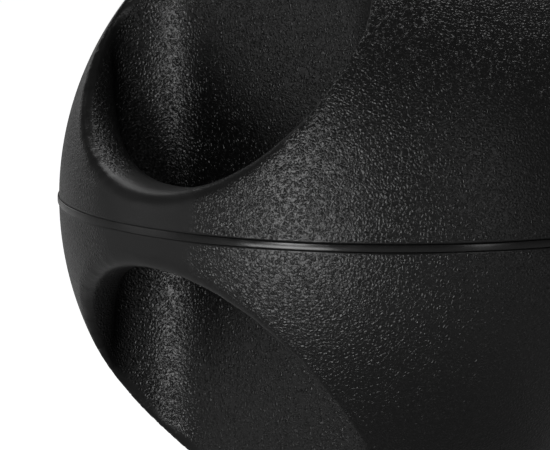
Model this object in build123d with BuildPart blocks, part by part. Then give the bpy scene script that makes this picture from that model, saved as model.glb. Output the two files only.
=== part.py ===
"""Dual-grip medicine ball: a hollow, weighted rubber ball with a handle moulded flush into each side.

Frame: millimetres, origin at the ball's centre. +Z is up, square to the plane on which the two halves
of the cover are joined. The handles are at +X and -X and run along Y. The plain faces are at +Y and -Y.
"""

import os
from math import atan2, degrees

from build123d import *

os.makedirs("parts", exist_ok=True)

# ---- Outside form -------------------------------------------------------------------------------
BALL_RADIUS = 135.0  # 270 mm ball
POCKET_BACK = 61.5  # flat back wall of a pocket, from the ball's centre
POCKET_HALF = 70.5  # half the pocket's width between its side walls
POCKET_CORNER = 28.0  # upright inside corners of a pocket
RIM_ROUND = 5.0  # rounding where a pocket meets the ball's surface
GRIP_HALF = 16.0  # half the handle's height at its middle
ARCH_FLARE = 1.5  # the arch's ellipse is this much wider than the pocket on each side
ARCH_RISE = 62.6  # rise of the arch's ellipse, from the handle's middle to its widest place
ARCH_BLEND = 10.0  # blend between the arch and the pocket's walls
GRIP_THICK = 31.0  # handle's thickness at the joint plane
GRIP_CREST_THICK = 22.5  # handle's thickness at and above the top of its middle
GRIP_INNER = BALL_RADIUS - GRIP_THICK  # handle's inner face at the joint plane, from the ball's centre
GRIP_CREST_INNER = BALL_RADIUS - GRIP_CREST_THICK

# ---- Walls, from the outside in -----------------------------------------------------------------
COVER = 8.0
BALLAST = 9.0
BLADDER = 2.5
TAPE = 1.5  # joint tape between the ballast and the bladder
TAPE_HALF = 12.0

# ---- Joint between the two halves of the cover --------------------------------------------------
STRIP_HALF = 1.45  # raised strip that covers the joint
STRIP_PROUD = 0.6
STRIP_DEPTH = 2.2
STRIP_ROUND = 0.5
STRIP_GROOVE = 0.5  # open V beside each edge of the strip
TONGUE_WALL = 1.6  # rubber between the strip and the tongue
TONGUE = 2.4  # tongue and groove behind the strip
TONGUE_DROP = 3.0

# ---- Handle cores -------------------------------------------------------------------------------
CORE_RADIUS = 7.0
CORE_PATH = (GRIP_INNER + BALL_RADIUS) / 2  # mid-depth of the handle
# A core's ends are anchored in the ballast beside the pocket: the plane of each end meets the inside of
# that ballast wall this far in from the ball's side.
CORE_ANCHOR = 47.5
CORE_SWEEP = 2 * degrees(atan2(POCKET_HALF + COVER + BALLAST, BALL_RADIUS - CORE_ANCHOR))

# ---- Valve on the top pole ----------------------------------------------------------------------
PLUG_RADIUS = 4.0
PLUG_SUNK = 0.8  # plug sits this far below the ball's surface
PLUG_LENGTH = 24.0
PLUG_CHAMFER = 1.0
NEEDLE_RADIUS = 1.2
NEEDLE_LEAD_IN = 0.6
NEEDLE_DEPTH = 14.0
BOOT_WALL = 3.0
BOOT_FLANGE = 14.0
BOOT_FLANGE_THICK = 2.0

REACH = BALL_RADIUS + 20.0  # length of every cut that runs right out of the ball
SIDES = (0, 180)  # turns about Z that give the +X and -X handles


def channel(skin):
    """The upright rounded channel of one pocket, grown by skin on every wall."""
    with BuildPart() as cut:
        with BuildSketch(Plane.XY.offset(-REACH)) as plan:
            with Locations((POCKET_BACK - skin + REACH / 2, 0)):
                Rectangle(REACH, 2 * (POCKET_HALF + skin))
            fillet(plan.vertices().group_by(Axis.X)[0], POCKET_CORNER + skin)
        extrude(amount=2 * REACH)
    return cut.part


def lining(skin):
    """The ball's form at a depth of skin below every outside surface, without the handles."""
    well = channel(skin)
    with BuildPart() as form:
        Sphere(BALL_RADIUS - skin)
        for turn in SIDES:
            add(well.rotate(Axis.Z, turn), mode=Mode.SUBTRACT)
    return form.part


# ---- Tools shared by the pieces -----------------------------------------------------------------
# The mouth of a pocket above a handle: an elliptical arch that runs up into the pocket's side walls. It
# meets them at a slant, so the blend along its foot has an edge to roll along from end to end.
with BuildPart() as mouth:
    with BuildSketch(Plane.YZ):
        with Locations((0, GRIP_HALF + ARCH_RISE)):
            Ellipse(POCKET_HALF + ARCH_FLARE, ARCH_RISE)
        with Locations((0, GRIP_HALF + ARCH_RISE + REACH / 2)):
            Rectangle(2 * (POCKET_HALF + ARCH_FLARE), REACH)
    extrude(amount=REACH)
    add(channel(0), mode=Mode.INTERSECT)
    arch = mouth.faces().filter_by(GeomType.EXTRUSION)[0]
    fillet(arch.edges().sort_by(Axis.X)[:-1], ARCH_BLEND)

# The finger gap behind a handle. The handle's inner face is barrelled, to lie easily in the fingers.
with BuildPart() as finger_gap:
    with BuildSketch(Plane.XZ):
        with BuildLine():
            Spline(
                (GRIP_INNER, 0),
                (GRIP_CREST_INNER, GRIP_HALF),
                tangents=[(0, 1), (0, 1)],
            )
            Polyline(
                (GRIP_CREST_INNER, GRIP_HALF),
                (GRIP_CREST_INNER, REACH),
                (0, REACH),
                (0, 0),
                (GRIP_INNER, 0),
            )
        make_face()
    revolve(axis=Axis.Z)
    add(channel(0), mode=Mode.INTERSECT)

# The outside form of the upper half: ball, two rounded pocket mouths, then the gap behind each handle.
with BuildPart() as upper_form:
    Sphere(BALL_RADIUS, rotation=(0, 0, 90))
    for turn in SIDES:
        add(mouth.part.rotate(Axis.Z, turn), mode=Mode.SUBTRACT)
    on_ball = [
        e
        for e in upper_form.edges()
        if abs(e.center().X) > POCKET_BACK / 2
        and all(abs((e @ t).length - BALL_RADIUS) < 0.01 for t in (0, 0.5, 1))
    ]
    for side in (1, -1):
        fillet([e for e in on_ball if e.center().X * side > 0], RIM_ROUND)
    for turn in SIDES:
        add(finger_gap.part.rotate(Axis.Z, turn), mode=Mode.SUBTRACT)
    split(bisect_by=Plane.XY, keep=Keep.TOP)

# ---- Handle cores: a bent bar that follows the ball, from the ballast on one side to the other ---
cores = []
for name, turn in (("grip_core_right", 0), ("grip_core_left", 180)):
    with BuildPart() as core:
        with BuildSketch(Plane.XZ):
            with Locations((CORE_PATH, 0)):
                Circle(CORE_RADIUS)
        revolve(axis=Axis.Z, revolution_arc=CORE_SWEEP)
    core.part = core.part.rotate(Axis.Z, turn - CORE_SWEEP / 2)
    core.part.label = name
    cores.append(core)

# ---- Valve --------------------------------------------------------------------------------------
INNER_SKIN = COVER + BALLAST + BLADDER  # depth of the bladder's inner face
PLUG_TOP = BALL_RADIUS - PLUG_SUNK
BOOT_RADIUS = PLUG_RADIUS + BOOT_WALL
BOOT_TOP = BALL_RADIUS - COVER / 2  # the boot's neck stops half-way through the cover

with BuildPart() as valve_core:
    with Locations((0, 0, PLUG_TOP)):
        Cylinder(PLUG_RADIUS, PLUG_LENGTH, align=(Align.CENTER, Align.CENTER, Align.MAX))
        Cylinder(
            NEEDLE_RADIUS,
            NEEDLE_DEPTH,
            align=(Align.CENTER, Align.CENTER, Align.MAX),
            mode=Mode.SUBTRACT,
        )
    bottom = valve_core.edges().group_by(Axis.Z)[0]
    chamfer(bottom, PLUG_CHAMFER)
    lead_in = valve_core.edges().filter_by(GeomType.CIRCLE).group_by(Axis.Z)[-1].sort_by(SortBy.RADIUS)[0]
    chamfer(lead_in, NEEDLE_LEAD_IN)
valve_core.part.label = "valve_core"

# The boot's flange follows the inside of the bladder and its neck rises through every wall to the cover.
with BuildPart() as valve_boot:
    Cylinder(BOOT_FLANGE, BALL_RADIUS, align=(Align.CENTER, Align.CENTER, Align.MIN))
    Sphere(BALL_RADIUS - INNER_SKIN, mode=Mode.INTERSECT)
    Cylinder(BOOT_RADIUS, BOOT_TOP, align=(Align.CENTER, Align.CENTER, Align.MIN))
    Sphere(BALL_RADIUS - INNER_SKIN - BOOT_FLANGE_THICK, mode=Mode.SUBTRACT)
    Cylinder(PLUG_RADIUS, BALL_RADIUS, align=(Align.CENTER, Align.CENTER, Align.MIN), mode=Mode.SUBTRACT)
valve_boot.part.label = "valve_boot"

# The hole that the valve fills: the neck's width up to the boot's top, the plug's width above it.
with BuildPart() as valve_hole:
    Cylinder(BOOT_RADIUS, BOOT_TOP, align=(Align.CENTER, Align.CENTER, Align.MIN))
    Cylinder(PLUG_RADIUS, REACH, align=(Align.CENTER, Align.CENTER, Align.MIN))

# ---- Strip over the joint, and the groove that it lies in ---------------------------------------
with BuildPart() as seam_strip:
    with BuildSketch(Plane.XZ) as section:
        with Locations((BALL_RADIUS - STRIP_DEPTH, 0)):
            Rectangle(STRIP_DEPTH + STRIP_PROUD, 2 * STRIP_HALF, align=(Align.MIN, Align.CENTER))
        fillet(section.vertices().group_by(Axis.X)[-1], STRIP_ROUND)
    revolve(axis=Axis.Z)
seam_strip.part.label = "seam_strip"

with BuildPart() as strip_groove:
    with BuildSketch(Plane.XZ):
        with BuildLine():
            Polyline(
                (BALL_RADIUS - STRIP_DEPTH, -STRIP_HALF),
                (BALL_RADIUS - STRIP_GROOVE, -STRIP_HALF),
                (BALL_RADIUS + STRIP_PROUD, -STRIP_HALF - STRIP_GROOVE - STRIP_PROUD),
                (BALL_RADIUS + STRIP_PROUD, STRIP_HALF + STRIP_GROOVE + STRIP_PROUD),
                (BALL_RADIUS - STRIP_GROOVE, STRIP_HALF),
                (BALL_RADIUS - STRIP_DEPTH, STRIP_HALF),
                close=True,
            )
        make_face()
    revolve(axis=Axis.Z)

with BuildPart() as tongue:
    with BuildSketch(Plane.XZ):
        with Locations((BALL_RADIUS - STRIP_DEPTH - TONGUE_WALL, 0)):
            Rectangle(TONGUE, TONGUE_DROP, align=(Align.MAX, Align.MAX))
    revolve(axis=Axis.Z)

# ---- Cover halves: grained rubber, each with its half of both handles ----------------------------
cover_room = lining(COVER)
with BuildPart() as upper_cover:
    add(upper_form.part)
    add(cover_room, mode=Mode.SUBTRACT)
    add(tongue.part)
    add(strip_groove.part, mode=Mode.SUBTRACT)
    add(valve_hole.part, mode=Mode.SUBTRACT)
    for core in cores:
        add(core.part, mode=Mode.SUBTRACT)
upper_cover.part.label = "upper_cover"

with BuildPart() as lower_cover:
    add(mirror(upper_form.part, about=Plane.XY))
    add(cover_room, mode=Mode.SUBTRACT)
    add(tongue.part, mode=Mode.SUBTRACT)
    add(strip_groove.part, mode=Mode.SUBTRACT)
    for core in cores:
        add(core.part, mode=Mode.SUBTRACT)
lower_cover.part.label = "lower_cover"

# ---- Ballast halves: dense rubber that carries the ball's weight ---------------------------------
ballast_room = lining(COVER + BALLAST)
halves = []
for name, side in (("upper_ballast", Keep.TOP), ("lower_ballast", Keep.BOTTOM)):
    with BuildPart() as half:
        add(cover_room)
        add(ballast_room, mode=Mode.SUBTRACT)
        split(bisect_by=Plane.XY, keep=side)
        for core in cores:
            add(core.part, mode=Mode.SUBTRACT)
        add(valve_hole.part, mode=Mode.SUBTRACT)
    half.part.label = name
    halves.append(half)

# ---- Tape bonded across the joint of the ballast, and the bladder that presses on it -------------
with BuildPart() as joint_tape:
    add(ballast_room)
    add(lining(COVER + BALLAST + TAPE), mode=Mode.SUBTRACT)
    Box(2 * REACH, 2 * REACH, 2 * TAPE_HALF, mode=Mode.INTERSECT)
joint_tape.part.label = "joint_tape"

with BuildPart() as bladder:
    add(ballast_room)
    add(lining(INNER_SKIN), mode=Mode.SUBTRACT)
    add(joint_tape.part, mode=Mode.SUBTRACT)
    add(valve_hole.part, mode=Mode.SUBTRACT)
bladder.part.label = "bladder"

for piece in (
    upper_cover,
    lower_cover,
    seam_strip,
    *halves,
    joint_tape,
    bladder,
    *cores,
    valve_boot,
    valve_core,
):
    export_step(piece.part, f"parts/{piece.part.label}.step")
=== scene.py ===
# %% [markdown]
# # A medicine ball with two moulded handles
# The ball is rubber, cured in a two-part mould. Its cover is pebbled like leather so that sweaty hands don't
# slip, its handles are worn and smooth, and a raised smooth band covers the joint of the two halves. This
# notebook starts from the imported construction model, which fixes every size and place, and gives the
# outside its real surface: softened edges, grain, wear and light. The pieces inside keep their construction
# shapes and only get finishes.

import math

import bmesh
import bpy
from mathutils import Matrix, Vector


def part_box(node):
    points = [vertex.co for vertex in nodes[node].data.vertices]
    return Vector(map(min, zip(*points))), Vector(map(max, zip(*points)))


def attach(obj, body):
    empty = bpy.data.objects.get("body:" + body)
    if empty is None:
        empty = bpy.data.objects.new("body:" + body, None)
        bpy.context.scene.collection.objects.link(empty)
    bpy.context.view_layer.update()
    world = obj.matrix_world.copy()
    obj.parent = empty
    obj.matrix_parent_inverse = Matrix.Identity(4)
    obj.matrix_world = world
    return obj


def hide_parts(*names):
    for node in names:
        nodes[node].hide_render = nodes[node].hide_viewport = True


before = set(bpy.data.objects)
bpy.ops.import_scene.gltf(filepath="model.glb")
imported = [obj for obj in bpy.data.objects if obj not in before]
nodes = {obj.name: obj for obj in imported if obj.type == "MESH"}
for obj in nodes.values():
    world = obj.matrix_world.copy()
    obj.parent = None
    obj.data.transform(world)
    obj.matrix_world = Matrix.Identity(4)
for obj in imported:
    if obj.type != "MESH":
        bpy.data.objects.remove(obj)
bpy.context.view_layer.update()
print("nodes:", sorted(nodes))

# %% [markdown]
# Every size is read from the construction model, so the visible rubber always fits it. A ray that is shot at
# a node tells where its surface is: the plain side of the ball, the lining inside it, the pocket's back
# wall, the arch above the handle and the handle's inner face. Where a ray meets the pocket's rounded
# corner, the circle's own formula gives the pocket's width. Two sizes are given here instead of read: the
# radius of that corner and the wall of the valve's boot.

# %% Read the ball's sizes from the model
MM = 0.001
POCKET_CORNER = 28 * MM
BOOT_WALL = 3 * MM


def hit(node, start, heading):
    """Where a ray from start first meets the node, in metres."""
    found, place, _, _ = nodes[node].ray_cast(Vector(start), Vector(heading))
    if not found:
        raise ValueError(f"a ray from {start} misses {node}")
    return place


ball_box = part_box("seam_strip")
OUTSIDE = 2 * ball_box[1].x
RADIUS = hit("upper_cover", (0, OUTSIDE, 0.3 * ball_box[1].x), (0, -1, 0)).length
COVER = RADIUS - hit("upper_cover", (0, 0, 0.3 * RADIUS), (0, 1, 0)).length
STRIP_HALF = ball_box[1].z
STRIP_PROUD = ball_box[1].x - RADIUS
STRIP_DEPTH = RADIUS - min(math.hypot(v.co.x, v.co.y) for v in nodes["seam_strip"].data.vertices)
POCKET_BACK = hit("upper_cover", (OUTSIDE, 0, 0.6 * RADIUS), (-1, 0, 0)).x
into_corner = POCKET_CORNER / 2
corner_hit = hit("upper_cover", (POCKET_BACK + into_corner, 0, 0.1 * RADIUS), (0, 1, 0)).y
POCKET_HALF = corner_hit + POCKET_CORNER - math.sqrt(POCKET_CORNER**2 - (POCKET_CORNER - into_corner) ** 2)
HANDLE_HALF = hit("upper_cover", (0.9 * RADIUS, 0, 0.4 * RADIUS), (0, 0, -1)).z
HANDLE_INNER = hit("upper_cover", (POCKET_BACK + MM, 0, MM), (1, 0, 0)).x
HANDLE_CREST = hit("upper_cover", (POCKET_BACK + MM, 0, HANDLE_HALF - 0.5 * MM), (1, 0, 0)).x
arch_place = 0.7 * POCKET_HALF
arch_height = hit("upper_cover", (0.79 * RADIUS, arch_place, 0.45 * RADIUS), (0, 0, -1)).z
ARCH_RISE = (arch_height - HANDLE_HALF) / (1 - math.sqrt(1 - (arch_place / POCKET_HALF) ** 2))
VALVE_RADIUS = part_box("valve_core")[1].x
BOOT_RADIUS = VALVE_RADIUS + BOOT_WALL
BOOT_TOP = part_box("valve_boot")[1].z
measured = {
    "ball radius": RADIUS,
    "cover": COVER,
    "half strip": STRIP_HALF,
    "strip proud": STRIP_PROUD,
    "strip depth": STRIP_DEPTH,
    "pocket back": POCKET_BACK,
    "half pocket": POCKET_HALF,
    "half handle": HANDLE_HALF,
    "handle inside": HANDLE_INNER,
    "handle crest": HANDLE_CREST,
    "arch rise": ARCH_RISE,
    "valve radius": VALVE_RADIUS,
    "boot top": BOOT_TOP,
}
for name, size in measured.items():
    print(f"{name:14}{size / MM:8.2f} mm")

# %% [markdown]
# The cover is shaped as a mould maker would think of it: a ball, less the space that each steel core fills.
# These helpers turn a bmesh into an object, settle a modifier into the mesh, and cut one object with
# another. The manifold solver is quick and keeps closed meshes closed. REACH is a length that ends outside
# the ball.

# %% Helpers for solid shapes
HALF_TURN = Matrix.Rotation(math.pi, 3, "Z")
REACH = RADIUS + 20 * MM


def make_object(bm, name):
    """Put a finished bmesh into the scene as an object at the origin."""
    mesh = bpy.data.meshes.new(name)
    bm.to_mesh(mesh)
    bm.free()
    piece = bpy.data.objects.new(name, mesh)
    bpy.context.scene.collection.objects.link(piece)
    return piece


def settle(piece):
    """Replace the piece's mesh with what its modifiers make of it."""
    graph = bpy.context.evaluated_depsgraph_get()
    mesh = bpy.data.meshes.new_from_object(piece.evaluated_get(graph))
    piece.modifiers.clear()
    spare, piece.data = piece.data, mesh
    bpy.data.meshes.remove(spare)


def combine(piece, tool, how):
    """Cut (DIFFERENCE) or cross (INTERSECT) the piece with a tool object, and remove the tool."""
    step = piece.modifiers.new(how.lower(), "BOOLEAN")
    step.operation, step.solver, step.object = how, "MANIFOLD", tool
    settle(piece)
    mesh = tool.data
    bpy.data.objects.remove(tool)
    bpy.data.meshes.remove(mesh)


def round_bar(radius, low, high, name):
    """An upright round bar on the ball's axis, from height low to height high."""
    bm = bmesh.new()
    bmesh.ops.create_cone(bm, cap_ends=True, segments=96, radius1=radius, radius2=radius, depth=high - low)
    bmesh.ops.translate(bm, verts=bm.verts, vec=(0, 0, (high + low) / 2))
    return make_object(bm, name)


def turned(profile, name, steps=240):
    """A closed profile of (radius, height) points, turned on a lathe about the ball's axis."""
    bm = bmesh.new()
    corners = [bm.verts.new((r, 0, z)) for r, z in profile]
    edges = [bm.edges.new(pair) for pair in zip(corners, corners[1:] + corners[:1])]
    bmesh.ops.spin(
        bm,
        geom=corners + edges,
        axis=(0, 0, 1),
        cent=(0, 0, 0),
        angle=2 * math.pi,
        steps=steps,
        use_merge=True,
    )
    bmesh.ops.remove_doubles(bm, verts=bm.verts, dist=1e-7)
    bmesh.ops.recalc_face_normals(bm, faces=bm.faces)
    return make_object(bm, name)


# %% [markdown]
# A pocket's core is an upright bar whose two back corners are rounded: a box with two bevelled edges. Grown
# by a skin on every side, the same core makes room for the wall behind the pocket.

# %% The upright core of a pocket
def pocket_core(side, skin=0.0):
    """The core of the pocket on the +X (side 1) or -X (side -1) side."""
    bm = bmesh.new()
    bmesh.ops.create_cube(bm, size=2 * REACH)
    bmesh.ops.scale(bm, verts=bm.verts, vec=(0.5, (POCKET_HALF + skin) / REACH, 1))
    bmesh.ops.translate(bm, verts=bm.verts, vec=(POCKET_BACK - skin + REACH / 2, 0, 0))
    back = [
        edge
        for edge in bm.edges
        if edge.calc_length() > 1.9 * REACH and all(v.co.x < RADIUS for v in edge.verts)
    ]
    bmesh.ops.bevel(
        bm,
        geom=back,
        offset=POCKET_CORNER + skin,
        segments=32,
        profile=0.5,
        affect="EDGES",
        material=-1,
    )
    if side < 0:
        bmesh.ops.rotate(bm, verts=bm.verts, matrix=HALF_TURN)
    return make_object(bm, "pocket_core")


# %% [markdown]
# A pocket opens above its handle through an elliptical arch. A circle is stretched to the ellipse, its upper
# half is lifted out past the ball so that straight walls follow, and the face is extruded outwards. Crossed
# with the upright core, it opens the pocket above the handle only. The lower mouth is its mirror image.

# %% The mouth of a pocket
def pocket_mouth(side, up):
    """The core that opens a pocket above (up 1) or below (up -1) its handle."""
    bm = bmesh.new()
    bmesh.ops.create_circle(bm, cap_ends=True, radius=1, segments=200)
    bmesh.ops.scale(bm, verts=bm.verts, vec=(POCKET_HALF, ARCH_RISE, 1))
    bmesh.ops.translate(bm, verts=[v for v in bm.verts if v.co.y > MM], vec=(0, REACH, 0))
    stand_up = Matrix.Rotation(math.pi / 2, 3, "Z") @ Matrix.Rotation(math.pi / 2, 3, "X")
    bmesh.ops.rotate(bm, verts=bm.verts, matrix=stand_up)
    bmesh.ops.translate(bm, verts=bm.verts, vec=(0, 0, HANDLE_HALF + ARCH_RISE))
    grown = bmesh.ops.extrude_face_region(bm, geom=bm.faces[:])["geom"]
    bmesh.ops.translate(bm, verts=[v for v in grown if isinstance(v, bmesh.types.BMVert)], vec=(REACH, 0, 0))
    bmesh.ops.scale(bm, verts=bm.verts, vec=(1, 1, up))
    if side < 0:
        bmesh.ops.rotate(bm, verts=bm.verts, matrix=HALF_TURN)
    bmesh.ops.recalc_face_normals(bm, faces=bm.faces)
    mouth = make_object(bm, "pocket_mouth")
    combine(mouth, pocket_core(side), "INTERSECT")
    return mouth


# %% [markdown]
# The finger gap runs right through behind the handle. The handle's inner face is barrelled so that it lies
# easily in the fingers, so the core of the gap is turned on a lathe: it is narrowest at the joint plane and
# swells along an ellipse up to the handle's crest.

# %% The finger gap behind a handle
GAP_STEPS = 8
OFF_AXIS = 10 * MM


def finger_gap(side):
    """The core that separates one handle from the ball."""
    swell = HANDLE_CREST - HANDLE_INNER
    curve = []
    for step in range(-GAP_STEPS, GAP_STEPS + 1):
        share = step / GAP_STEPS
        curve.append((HANDLE_INNER + swell * share**2, HANDLE_HALF * share))
    profile = [(OFF_AXIS, -REACH), (HANDLE_CREST, -REACH), *curve, (HANDLE_CREST, REACH), (OFF_AXIS, REACH)]
    gap = turned(profile, "finger_gap")
    combine(gap, pocket_core(side), "INTERSECT")
    return gap


# %% Cut the ball with all its cores
bm = bmesh.new()
bmesh.ops.create_icosphere(bm, subdivisions=6, radius=RADIUS)
rubber = make_object(bm, "rubber")
for side in (1, -1):
    for up in (1, -1):
        combine(rubber, pocket_mouth(side, up), "DIFFERENCE")
    combine(rubber, finger_gap(side), "DIFFERENCE")
print("cut ball:", len(rubber.data.polygons), "faces")

# %% [markdown]
# A mould has no sharp edges. The cut ball is rebuilt as an even skin of small faces, and its edges are then
# relaxed: each point moves towards its neighbours, again and again. The handle is rounded generously for
# the hand and gets the most turns. The far ends of a pocket's rim stay crisper. Relaxing also sinks the
# round of the ball by a hair, so points near the ball's radius are brought back onto it at the end. On the
# handles the two halves are buffed together, which leaves a low soft swell along the joint.

# %% Round the edges
SKIN_CELL = 1.6 * MM
HANDLE_TURNS = 44
RIM_TURNS = 10
SAG = 0.3 * MM
SAG_REACH = 4 * SAG
HANDLE_SPAN = 100 * MM
HANDLE_FADE = 60 * MM
SWELL = 0.3 * MM
SWELL_REACH = 3.5 * MM
BUFFED_TO = 28
BUFFED_FADE = 18

step = rubber.modifiers.new("skin", "REMESH")
step.mode, step.octree_depth = "SHARP", 8
step.scale = 2 * RADIUS / (2**step.octree_depth * SKIN_CELL)
settle(rubber)

bm = bmesh.new()
bm.from_mesh(rubber.data)
handle_middles = (Vector((RADIUS, 0, 0)), Vector((-RADIUS, 0, 0)))


def handle_share(place):
    """1 on a handle, falling to 0 at HANDLE_SPAN from its middle."""
    gap = min((place - middle).length for middle in handle_middles)
    return max(0.0, min(1.0, (HANDLE_SPAN - gap) / HANDLE_FADE))


def buffed(place):
    """1 where the joint is buffed flush on the middle of a handle, falling to 0 at BUFFED_TO degrees."""
    turn = math.degrees(math.atan2(abs(place.y), abs(place.x)))
    share = max(0.0, min(1.0, (BUFFED_TO - turn) / BUFFED_FADE))
    return share * share * (3 - 2 * share)


turns = {v: RIM_TURNS + (HANDLE_TURNS - RIM_TURNS) * handle_share(v.co) for v in bm.verts}
for turn in range(HANDLE_TURNS):
    still_soft = [v for v in bm.verts if turns[v] > turn]
    bmesh.ops.smooth_vert(
        bm, verts=still_soft, factor=0.5, use_axis_x=True, use_axis_y=True, use_axis_z=True
    )
for v in bm.verts:
    depth = RADIUS - v.co.length
    if depth < SAG_REACH:
        swell = SWELL * buffed(v.co) * math.exp(-((v.co.z / SWELL_REACH) ** 2))
        sunk = max(0.0, depth - SAG) * SAG_REACH / (SAG_REACH - SAG)
        v.co *= (RADIUS - sunk + swell) / v.co.length
print("skin:", len(bm.verts), "points")
bm.to_mesh(rubber.data)
bm.free()

# %% [markdown]
# The cover is a shell. A smaller ball, less the pockets' cores grown by the cover's wall, is cut out of its
# inside. Then come the channels of the handles' hard cores, the valve's stepped hole on the top pole, and
# the groove that the joint's strip lies in. The groove is open beside the strip on the plain sides, more
# so below it than above, and closes on the handles.

# %% Hollow the cover and cut its seats
OPEN_ABOVE = 0.15 * MM
OPEN_BELOW = 0.7 * MM
GROOVE_CLOSED = 0.95
BOOT_SEAT = 3 * COVER

bm = bmesh.new()
bmesh.ops.create_icosphere(bm, subdivisions=5, radius=RADIUS - COVER)
room = make_object(bm, "room")
for side in (1, -1):
    combine(room, pocket_core(side, COVER), "DIFFERENCE")
combine(rubber, room, "DIFFERENCE")

groove_profile = [
    (RADIUS - STRIP_DEPTH, -STRIP_HALF),
    (RADIUS - OPEN_BELOW, -STRIP_HALF),
    (RADIUS + STRIP_PROUD, -STRIP_HALF - OPEN_BELOW),
    (RADIUS + STRIP_PROUD, STRIP_HALF + OPEN_ABOVE),
    (RADIUS - OPEN_ABOVE, STRIP_HALF),
    (RADIUS - STRIP_DEPTH, STRIP_HALF),
]
groove = turned(groove_profile, "groove", steps=360)
for v in groove.data.vertices:
    open_width = abs(v.co.z) - STRIP_HALF
    v.co.z -= math.copysign(open_width * buffed(v.co) * GROOVE_CLOSED, v.co.z)
combine(rubber, groove, "DIFFERENCE")

for name in ("grip_core_right", "grip_core_left"):
    bm = bmesh.new()
    bm.from_mesh(nodes[name].data)
    bmesh.ops.remove_doubles(bm, verts=bm.verts, dist=1e-6)
    combine(rubber, make_object(bm, "core_channel"), "DIFFERENCE")
combine(rubber, round_bar(BOOT_RADIUS, BOOT_TOP - BOOT_SEAT, BOOT_TOP, "boot_seat"), "DIFFERENCE")
combine(rubber, round_bar(VALVE_RADIUS, BOOT_TOP - COVER, REACH, "plug_seat"), "DIFFERENCE")
print("hollow cover:", len(rubber.data.polygons), "faces")

# %% [markdown]
# The cover is moulded as two cups, so the shell is parted at the joint plane. Each half keeps its half of
# both handles. Faces are shaded smooth, and an edge stays sharp only where two faces meet steeply.

# %% Part the cover into its two halves
CREASE = math.radians(50)

covers = {}
for name, up in (("upper_cover", 1), ("lower_cover", -1)):
    half = rubber if up < 0 else bpy.data.objects.new("half", rubber.data.copy())
    if up > 0:
        bpy.context.scene.collection.objects.link(half)
    bm = bmesh.new()
    bmesh.ops.create_cube(bm, size=2 * REACH)
    bmesh.ops.translate(bm, verts=bm.verts, vec=(0, 0, up * REACH))
    combine(half, make_object(bm, "half_space"), "INTERSECT")
    half.name = half.data.name = name + "_skin"
    half.data.shade_smooth()
    half.data.set_sharp_from_angle(angle=CREASE)
    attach(half, "root")
    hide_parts(name)
    covers[name] = half
    print(half.name, sum(len(f.vertices) - 2 for f in half.data.polygons), "triangles")

# %% [markdown]
# The strip is a separate length of smooth rubber, laid in the groove and cured flat. It stands proud of the
# plain sides and its two edges are rounded. On the handles it is buffed down to the swell of the cover, so
# its crown sinks there and its edges run out to the groove's walls.

# %% The strip over the joint
STRIP_ROUND = 0.5 * MM
CROWN_LEFT = 0.05
EDGE_SPREAD = 0.9
CORNER_STEPS = 4

profile = [(RADIUS - STRIP_DEPTH, -STRIP_HALF), (RADIUS - STRIP_DEPTH, STRIP_HALF)]
for corner in (1, -1):
    for step in range(CORNER_STEPS + 1):
        angle = math.radians((90 if corner > 0 else 0) - 90 / CORNER_STEPS * step)
        profile.append(
            (
                RADIUS + STRIP_PROUD - STRIP_ROUND + STRIP_ROUND * math.cos(angle),
                corner * (STRIP_HALF - STRIP_ROUND) + STRIP_ROUND * math.sin(angle),
            )
        )
strip = turned(profile, "seam_strip_skin", steps=360)
for v in strip.data.vertices:
    out = math.hypot(v.co.x, v.co.y)
    if out > RADIUS:
        sunk = RADIUS + SWELL + (out - RADIUS) * CROWN_LEFT
        share = buffed(v.co)
        scale = (out + (sunk - out) * share) / out
        edge = math.copysign(STRIP_HALF, v.co.z) if abs(v.co.z) > STRIP_HALF / 2 else v.co.z
        v.co = (v.co.x * scale, v.co.y * scale, v.co.z + (edge - v.co.z) * share * EDGE_SPREAD)
strip.data.shade_smooth()
strip.data.set_sharp_from_angle(angle=CREASE)
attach(strip, "root")
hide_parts("seam_strip")
print("strip:", len(strip.data.polygons), "faces")

# %% [markdown]
# ## Finishes
# A finish is made of shader nodes. The helpers keep the graphs short: one adds a node and wires it, and one
# starts a node group with named inputs and outputs.

# %% Helpers for finishes
def add_node(tree, kind, settings=None, **wires):
    """Add a shader node, set its properties, and fill its inputs with values or other nodes' outputs."""
    node = tree.nodes.new("ShaderNode" + kind)
    for key, value in (settings or {}).items():
        setattr(node, key, value)
    for key, value in wires.items():
        socket = node.inputs[int(key[1:])] if key[0] == "i" and key[1:].isdigit() else node.inputs[key]
        if isinstance(value, bpy.types.NodeSocket):
            tree.links.new(value, socket)
        else:
            socket.default_value = value
    return node


def sum_up(tree, how, a, b, clamp=False):
    """A Math node's result."""
    return add_node(tree, "Math", {"operation": how, "use_clamp": clamp}, i0=a, i1=b).outputs[0]


def ramp(tree, value, low, high, to_low=0.0, to_high=1.0):
    """A smooth change of value from low to high."""
    settings = {"interpolation_type": "SMOOTHSTEP"}
    span = add_node(tree, "MapRange", settings, i0=value, i1=low, i2=high, i3=to_low, i4=to_high)
    return span.outputs[0]


def start_group(name, inputs, outputs):
    """A node group with named sockets; returns the group, its input node and its output node."""
    group = bpy.data.node_groups.new(name, "ShaderNodeTree")
    for label, kind, value in inputs:
        socket = group.interface.new_socket(label, in_out="INPUT", socket_type="NodeSocket" + kind)
        socket.default_value = value
    for label, kind in outputs:
        group.interface.new_socket(label, in_out="OUTPUT", socket_type="NodeSocket" + kind)
    return group, group.nodes.new("NodeGroupInput").outputs, group.nodes.new("NodeGroupOutput").inputs


# %% [markdown]
# Pebble grain is etched into the mould as small domes parted by creases. Voronoi cells give the domes, with
# their places disturbed so that they run into short worms, and a second noise lets some stand higher than
# others. The height that comes out is in metres, so the grain is the same size on every piece.

# %% Pebble grain
SWAY = 0.9
DOME_FOOT = 0.38
LOWEST_DOME = 0.35

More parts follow.
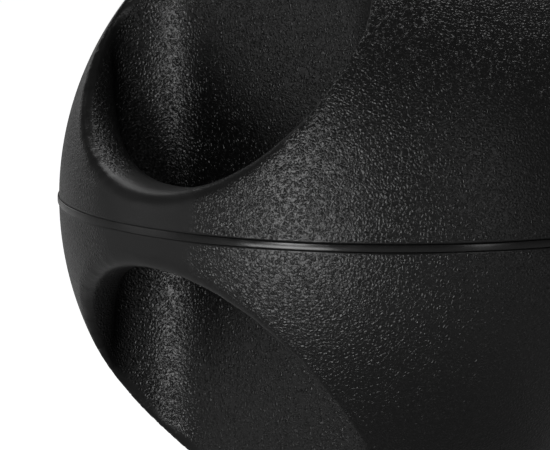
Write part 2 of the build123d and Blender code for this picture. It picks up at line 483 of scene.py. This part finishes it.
grain, given, result = start_group(
    "pebble_grain",
    [("Pitch", "Float", 1.5 * MM), ("Depth", "Float", 0.27 * MM), ("Amount", "Float", 1.0)],
    [("Height", "Float"), ("Pits", "Float")],
)
place = add_node(grain, "TexCoord").outputs["Object"]
per_metre = sum_up(grain, "DIVIDE", 1.0, given["Pitch"])
drift = add_node(grain, "TexNoise", Vector=place, Scale=per_metre, Detail=1.0)
sway = add_node(grain, "VectorMath", {"operation": "SUBTRACT"}, i0=drift.outputs["Color"], i1=(0.5, 0.5, 0.5))
sway = add_node(grain, "VectorMath", {"operation": "SCALE"}, i0=sway.outputs[0])
grain.links.new(sum_up(grain, "MULTIPLY", given["Pitch"], SWAY), sway.inputs["Scale"])
moved = add_node(grain, "VectorMath", {"operation": "ADD"}, i0=place, i1=sway.outputs[0])
cells = add_node(
    grain, "TexVoronoi", {"feature": "DISTANCE_TO_EDGE"}, Vector=moved.outputs[0], Scale=per_metre
)
domes = ramp(grain, cells.outputs["Distance"], 0.0, DOME_FOOT)
broad = sum_up(grain, "MULTIPLY", per_metre, 0.8)
uneven = add_node(grain, "TexNoise", Vector=place, Scale=broad, Detail=2.0)
tall = ramp(grain, uneven.outputs[0], 0.3, 0.7, LOWEST_DOME, 1.0)
shape = sum_up(grain, "MULTIPLY", domes, tall)
shape = sum_up(grain, "MULTIPLY", shape, given["Amount"])
grain.links.new(sum_up(grain, "MULTIPLY", shape, given["Depth"]), result["Height"])
grain.links.new(sum_up(grain, "SUBTRACT", 1.0, domes, clamp=True), result["Pits"])
print("pebble_grain:", len(grain.nodes), "nodes")

# %% [markdown]
# The handles have been polished by hands, and the mould was left smooth along the rims and beside the
# joint. The wear group tells how much grain is left at a place on the ball: a trace round a handle's middle,
# little on the rounded rim of a pocket, none in a narrow margin beside the strip, and all of it elsewhere.
# Palms polish a handle a little above its middle, and a noise makes the worn patch end raggedly.

# %% Where the grain is worn away
PALM_HEIGHT = 5 * MM
RAGGED = 20 * MM
TRACE = 0.06
EDGE_STARTS, EDGE_ENDS = 0.15 * MM, 0.8 * MM
RIM_SMOOTH = 0.85
MARGIN_BARE, MARGIN_FULL = 0.5 * MM, 1.4 * MM

wear, given, result = start_group(
    "wear",
    [
        ("Radius", "Float", RADIUS),
        ("Strip Half", "Float", STRIP_HALF),
        ("Rim Depth", "Float", 5 * MM),
        ("Bare", "Float", 22 * MM),
        ("Full", "Float", 40 * MM),
    ],
    [("Grain Left", "Float"), ("Handle", "Float")],
)
place = add_node(wear, "TexCoord").outputs["Object"]
split = add_node(wear, "SeparateXYZ", Vector=place).outputs
reach = sum_up(wear, "SUBTRACT", sum_up(wear, "ABSOLUTE", split["X"], 0.0), given["Radius"])
height = sum_up(wear, "SUBTRACT", split["Z"], PALM_HEIGHT)
offset = add_node(wear, "CombineXYZ", X=reach, Y=split["Y"], Z=height)
gap = add_node(wear, "VectorMath", {"operation": "LENGTH"}, i0=offset.outputs[0]).outputs["Value"]
ragged = add_node(wear, "TexNoise", Vector=place, Scale=90.0, Detail=3.0).outputs[0]
ragged = sum_up(wear, "MULTIPLY", sum_up(wear, "SUBTRACT", ragged, 0.5), RAGGED)
gap = sum_up(wear, "ADD", gap, ragged)
from_handle = ramp(wear, gap, given["Bare"], given["Full"], TRACE, 1.0)
depth = sum_up(
    wear,
    "SUBTRACT",
    given["Radius"],
    add_node(wear, "VectorMath", {"operation": "LENGTH"}, i0=place).outputs["Value"],
)
under_edge = ramp(wear, depth, EDGE_STARTS, EDGE_ENDS)
past_edge = ramp(wear, depth, sum_up(wear, "MULTIPLY", given["Rim Depth"], 0.7), given["Rim Depth"])
rim = sum_up(wear, "SUBTRACT", under_edge, past_edge, clamp=True)
off_rim = sum_up(wear, "SUBTRACT", 1.0, sum_up(wear, "MULTIPLY", rim, RIM_SMOOTH))
beside = sum_up(wear, "SUBTRACT", sum_up(wear, "ABSOLUTE", split["Z"], 0.0), given["Strip Half"])
off_strip = ramp(wear, beside, MARGIN_BARE, MARGIN_FULL)
left = sum_up(wear, "MULTIPLY", sum_up(wear, "MULTIPLY", from_handle, off_rim), off_strip)
wear.links.new(left, result["Grain Left"])
wear.links.new(sum_up(wear, "SUBTRACT", 1.0, from_handle, clamp=True), result["Handle"])
print("wear:", len(wear.nodes), "nodes")

# %% [markdown]
# Grained rubber is nearly black, with a waxy shine. A bump turns the grain's height into tilted normals, and
# the colour in the pits is painted darker than on the domes: painted shade for the light the creases hold
# back.
# The polished handle has hardly any grain, but its skin is duller, so its shine is broad and soft.

# %% Grained rubber
# Share of the base colour kept in the grain's pits: painted shade, not the rubber's own colour.
PAINTED_PIT_SHADE = 0.55
FINE_DEPTH = 0.02 * MM
GRAIN_ROUGH, HANDLE_ROUGH = 0.3, 0.42


def new_finish(name):
    """A material with a Principled shader; returns the material, its node tree and the shader."""
    material = bpy.data.materials.new(name)
    material.use_nodes = True
    tree = material.node_tree
    return material, tree, tree.nodes["Principled BSDF"]


grained, tree, rubber_shader = new_finish("grained_rubber")
worn = add_node(tree, "Group", {"node_tree": wear})
pebbles = add_node(tree, "Group", {"node_tree": grain}, Amount=worn.outputs["Grain Left"])
place = add_node(tree, "TexCoord").outputs["Object"]
cloud = add_node(tree, "TexNoise", Vector=place, Scale=35.0, Detail=4.0).outputs[0]
# Painted shade: the base colour is darkened in the grain's pits, where less light reaches.
painted_pit_shade = ramp(tree, pebbles.outputs["Pits"], 0.0, 1.0, 1.0, PAINTED_PIT_SHADE)
tint = add_node(tree, "Mix", {"data_type": "RGBA"})
tree.links.new(cloud, tint.inputs["Factor"])
tint.inputs[6].default_value = (0.003, 0.003, 0.003, 1)
tint.inputs[7].default_value = (0.006, 0.006, 0.006, 1)
pit_shaded_tint = add_node(tree, "VectorMath", {"operation": "SCALE"}, i0=tint.outputs[2])
tree.links.new(painted_pit_shade, pit_shaded_tint.inputs["Scale"])
tree.links.new(pit_shaded_tint.outputs[0], rubber_shader.inputs["Base Color"])
fine = add_node(tree, "TexNoise", Vector=place, Scale=2500.0, Detail=2.0).outputs[0]
height = sum_up(tree, "ADD", pebbles.outputs["Height"], sum_up(tree, "MULTIPLY", fine, FINE_DEPTH))
bump = add_node(tree, "Bump", Strength=1.0, Distance=1.0, Height=height)
tree.links.new(bump.outputs[0], rubber_shader.inputs["Normal"])
rough = ramp(tree, worn.outputs["Handle"], 0.0, 1.0, GRAIN_ROUGH, HANDLE_ROUGH)
tree.links.new(rough, rubber_shader.inputs["Roughness"])
for half in covers.values():
    half.data.materials.clear()
    half.data.materials.append(grained)
    print(half.name, "wears", grained.name)

# %% Smooth rubber of the strip
WAVE_DEPTH = 0.05 * MM

smooth, tree, shader = new_finish("smooth_rubber")
place = add_node(tree, "TexCoord").outputs["Object"]
waves = add_node(tree, "TexNoise", Vector=place, Scale=160.0, Detail=3.0).outputs[0]
height = sum_up(tree, "MULTIPLY", waves, WAVE_DEPTH)
bump = add_node(tree, "Bump", Strength=1.0, Distance=1.0, Height=height)
tree.links.new(bump.outputs[0], shader.inputs["Normal"])
shader.inputs["Base Color"].default_value = (0.006, 0.006, 0.006, 1)
tree.links.new(ramp(tree, waves, 0.3, 0.7, 0.17, 0.24), shader.inputs["Roughness"])
strip.data.materials.clear()
strip.data.materials.append(smooth)
print(strip.name, "wears", smooth.name)

# %% [markdown]
# The pieces inside the ball show only when it is taken apart. Each is plain, and moulded, dipped or woven:
# its colour is mottled by a noise, and its surface takes the print of the tool or the cloth that made it.

# %% Finishes of the inner pieces
THREAD = 1 * MM


def cured_rubber(name, deep, pale, rough, print_size, print_depth):
    """Rubber whose colour drifts from deep to pale, with the fine print of its tool."""
    material, tree, shader = new_finish(name)
    place = add_node(tree, "TexCoord").outputs["Object"]
    cloud = add_node(tree, "TexNoise", Vector=place, Scale=60.0, Detail=5.0).outputs[0]
    colour = add_node(tree, "Mix", {"data_type": "RGBA"}, i0=ramp(tree, cloud, 0.3, 0.7))
    colour.inputs[6].default_value = (*deep, 1)
    colour.inputs[7].default_value = (*pale, 1)
    tree.links.new(colour.outputs[2], shader.inputs["Base Color"])
    tool = add_node(tree, "TexNoise", Vector=place, Scale=1 / print_size, Detail=2.0).outputs[0]
    height = sum_up(tree, "MULTIPLY", tool, print_depth)
    bump = add_node(tree, "Bump", Strength=1.0, Distance=1.0, Height=height)
    tree.links.new(bump.outputs[0], shader.inputs["Normal"])
    tree.links.new(ramp(tree, cloud, 0.2, 0.8, rough, rough + 0.12), shader.inputs["Roughness"])
    return material


def woven_tape(name):
    """Rubbered cloth: two crossed waves make the threads, which run round the ball and up it."""
    material, tree, shader = new_finish(name)
    place = add_node(tree, "TexCoord").outputs["Object"]
    part = add_node(tree, "SeparateXYZ", Vector=place).outputs
    around = sum_up(tree, "MULTIPLY", sum_up(tree, "ARCTAN2", part["Y"], part["X"]), RADIUS)
    warp, weft = (
        sum_up(tree, "SINE", sum_up(tree, "MULTIPLY", way, 2 * math.pi / THREAD), 0.0)
        for way in (around, part["Z"])
    )
    cloth = sum_up(tree, "MULTIPLY", warp, weft)
    colour = add_node(tree, "Mix", {"data_type": "RGBA"}, i0=ramp(tree, cloth, -1.0, 1.0))
    colour.inputs[6].default_value = (0.10, 0.09, 0.07, 1)
    colour.inputs[7].default_value = (0.22, 0.20, 0.16, 1)
    tree.links.new(colour.outputs[2], shader.inputs["Base Color"])
    height = sum_up(tree, "MULTIPLY", cloth, 0.1 * THREAD)
    bump = add_node(tree, "Bump", Strength=1.0, Distance=1.0, Height=height)
    tree.links.new(bump.outputs[0], shader.inputs["Normal"])
    shader.inputs["Roughness"].default_value = 0.8
    return material


ballast_rubber = cured_rubber(
    "ballast_rubber", (0.035, 0.035, 0.04), (0.06, 0.058, 0.055), 0.7, 3 * MM, 0.3 * MM
)
butyl = cured_rubber("butyl_rubber", (0.012, 0.012, 0.013), (0.02, 0.02, 0.02), 0.42, 6 * MM, 0.15 * MM)
hard_core = cured_rubber("core_rubber", (0.05, 0.045, 0.04), (0.08, 0.07, 0.06), 0.5, 2 * MM, 0.08 * MM)
valve_rubber = cured_rubber(
    "valve_rubber", (0.008, 0.008, 0.009), (0.014, 0.014, 0.015), 0.38, 1 * MM, 0.04 * MM
)
inner_finishes = {
    ballast_rubber: ("upper_ballast", "lower_ballast"),
    woven_tape("tape_fabric"): ("joint_tape",),
    butyl: ("bladder",),
    hard_core: ("grip_core_left", "grip_core_right"),
    valve_rubber: ("valve_boot", "valve_core"),
}
for finish, names in inner_finishes.items():
    for name in names:
        nodes[name].data.materials.clear()
        nodes[name].data.materials.append(finish)
    print(f"{finish.name:16}", ", ".join(names))

# %% [markdown]
# ## Studio
# The ball lies on a plain pale floor. The floor glows for the camera alone, so it stays near white and keeps
# a faint shadow under the ball. A tall soft light to the left of the camera draws the long highlight, and a
# low one near the floor lights the ball from below. Weaker ones stand at the far left, at the left behind
# the ball and at the right, and two more hang above and behind it. A dim white room lights the rest.

# %% Floor
FLOOR_REACH = 30
FLOOR_GLOW = 0.85

bm = bmesh.new()
bmesh.ops.create_grid(bm, x_segments=1, y_segments=1, size=FLOOR_REACH)
bmesh.ops.translate(bm, verts=bm.verts, vec=(0, 0, -RADIUS))
floor = make_object(bm, "floor")
paint, tree, floor_shader = new_finish("floor_paint")
floor_shader.inputs["Base Color"].default_value = (0.7, 0.7, 0.7, 1)
floor_shader.inputs["Roughness"].default_value = 0.3
place = add_node(tree, "TexCoord").outputs["Object"]
speck = add_node(tree, "TexNoise", Vector=place, Scale=400.0).outputs[0]
bump = add_node(tree, "Bump", Strength=0.1, Distance=MM, Height=speck)
tree.links.new(bump.outputs[0], floor_shader.inputs["Normal"])
seen = add_node(tree, "LightPath").outputs["Is Camera Ray"]
floor_shader.inputs["Emission Color"].default_value = (1, 1, 1, 1)
tree.links.new(sum_up(tree, "MULTIPLY", seen, FLOOR_GLOW), floor_shader.inputs["Emission Strength"])
floor.data.materials.append(paint)
print("floor at", round(-RADIUS / MM, 1), "mm")

# %% Lights
ROOM_LIGHT = 0.11


def soft_light(name, azimuth, elevation, distance, width, tall, watts):
    """A rectangular soft light that faces the ball's centre from a turn and a height in degrees."""
    data = bpy.data.lights.new(name, "AREA")
    data.shape, data.size, data.size_y, data.energy = "RECTANGLE", width, tall, watts
    lamp = bpy.data.objects.new(name, data)
    bpy.context.scene.collection.objects.link(lamp)
    turn, lift = math.radians(azimuth), math.radians(elevation)
    way = Vector((math.cos(turn) * math.cos(lift), math.sin(turn) * math.cos(lift), math.sin(lift)))
    facing = way.to_track_quat("Z", "Y").to_matrix().to_4x4()
    lamp.matrix_world = Matrix.Translation(way * distance) @ facing
    print(f"{name:12}{watts:5.2f} W, {width:.2f} x {tall:.2f} m")


soft_light("left strip", azimuth=-165, elevation=13, distance=1.6, width=0.30, tall=0.9, watts=8)
soft_light("low strip", azimuth=-164, elevation=-12, distance=0.55, width=0.25, tall=0.07, watts=0.45)
soft_light("left wall", azimuth=138, elevation=6, distance=1.8, width=0.7, tall=0.6, watts=1.2)
soft_light("left edge", azimuth=85, elevation=12, distance=2.4, width=1.6, tall=1.0, watts=2.3)
soft_light("left top", azimuth=70, elevation=52, distance=2.0, width=1.2, tall=0.8, watts=6)
soft_light("back top", azimuth=15, elevation=56, distance=2.0, width=0.9, tall=0.6, watts=5)
soft_light("right fill", azimuth=-102, elevation=12, distance=2.0, width=0.25, tall=1.4, watts=2.4)

world = bpy.data.worlds.new("studio")
bpy.context.scene.world = world
world.use_nodes = True
tree = world.node_tree
tree.nodes.clear()
room_light = add_node(tree, "Background", Color=(1, 1, 1, 1), Strength=ROOM_LIGHT)
white = add_node(tree, "Background", Color=(1, 1, 1, 1), Strength=1.0)
mix = add_node(tree, "MixShader", i0=add_node(tree, "LightPath").outputs["Is Camera Ray"])
tree.links.new(room_light.outputs[0], mix.inputs[1])
tree.links.new(white.outputs[0], mix.inputs[2])
tree.links.new(mix.outputs[0], tree.nodes.new("ShaderNodeOutputWorld").inputs[0])

# %% [markdown]
# The camera stands back with a long lens, so that the ball is hardly distorted. It looks to the left of the
# ball's middle and a little below it, and is rolled by a hair. Angles are in degrees, and LENS and SENSOR
# in millimetres.

# %% Camera
CAMERA_AZIMUTH = 45
CAMERA_HEIGHT = 8.6
DISTANCE = 12 * RADIUS
LENS, SENSOR = 254.2, 36
AIM_LEFT, AIM_DOWN, ROLL = 1.597, 0.428, 0.4

azimuth, lift = math.radians(CAMERA_AZIMUTH), math.radians(CAMERA_HEIGHT)
stand = Vector((-math.sin(azimuth) * math.cos(lift), -math.cos(azimuth) * math.cos(lift), math.sin(lift)))
camera = bpy.data.objects.new("camera", bpy.data.cameras.new("camera"))
camera.data.lens, camera.data.sensor_width = LENS, SENSOR
camera.data.clip_end = 100
bpy.context.scene.collection.objects.link(camera)
bpy.context.scene.camera = camera
aim = Matrix.Rotation(math.radians(ROLL), 4, "Z")
aim = aim @ Matrix.Rotation(math.radians(AIM_LEFT), 4, "Y")
aim = aim @ Matrix.Rotation(math.radians(-AIM_DOWN), 4, "X")
look = (-stand).to_track_quat("-Z", "Y").to_matrix().to_4x4()
camera.matrix_world = Matrix.Translation(stand * DISTANCE) @ look @ aim
bpy.context.scene.view_settings.view_transform = "Standard"
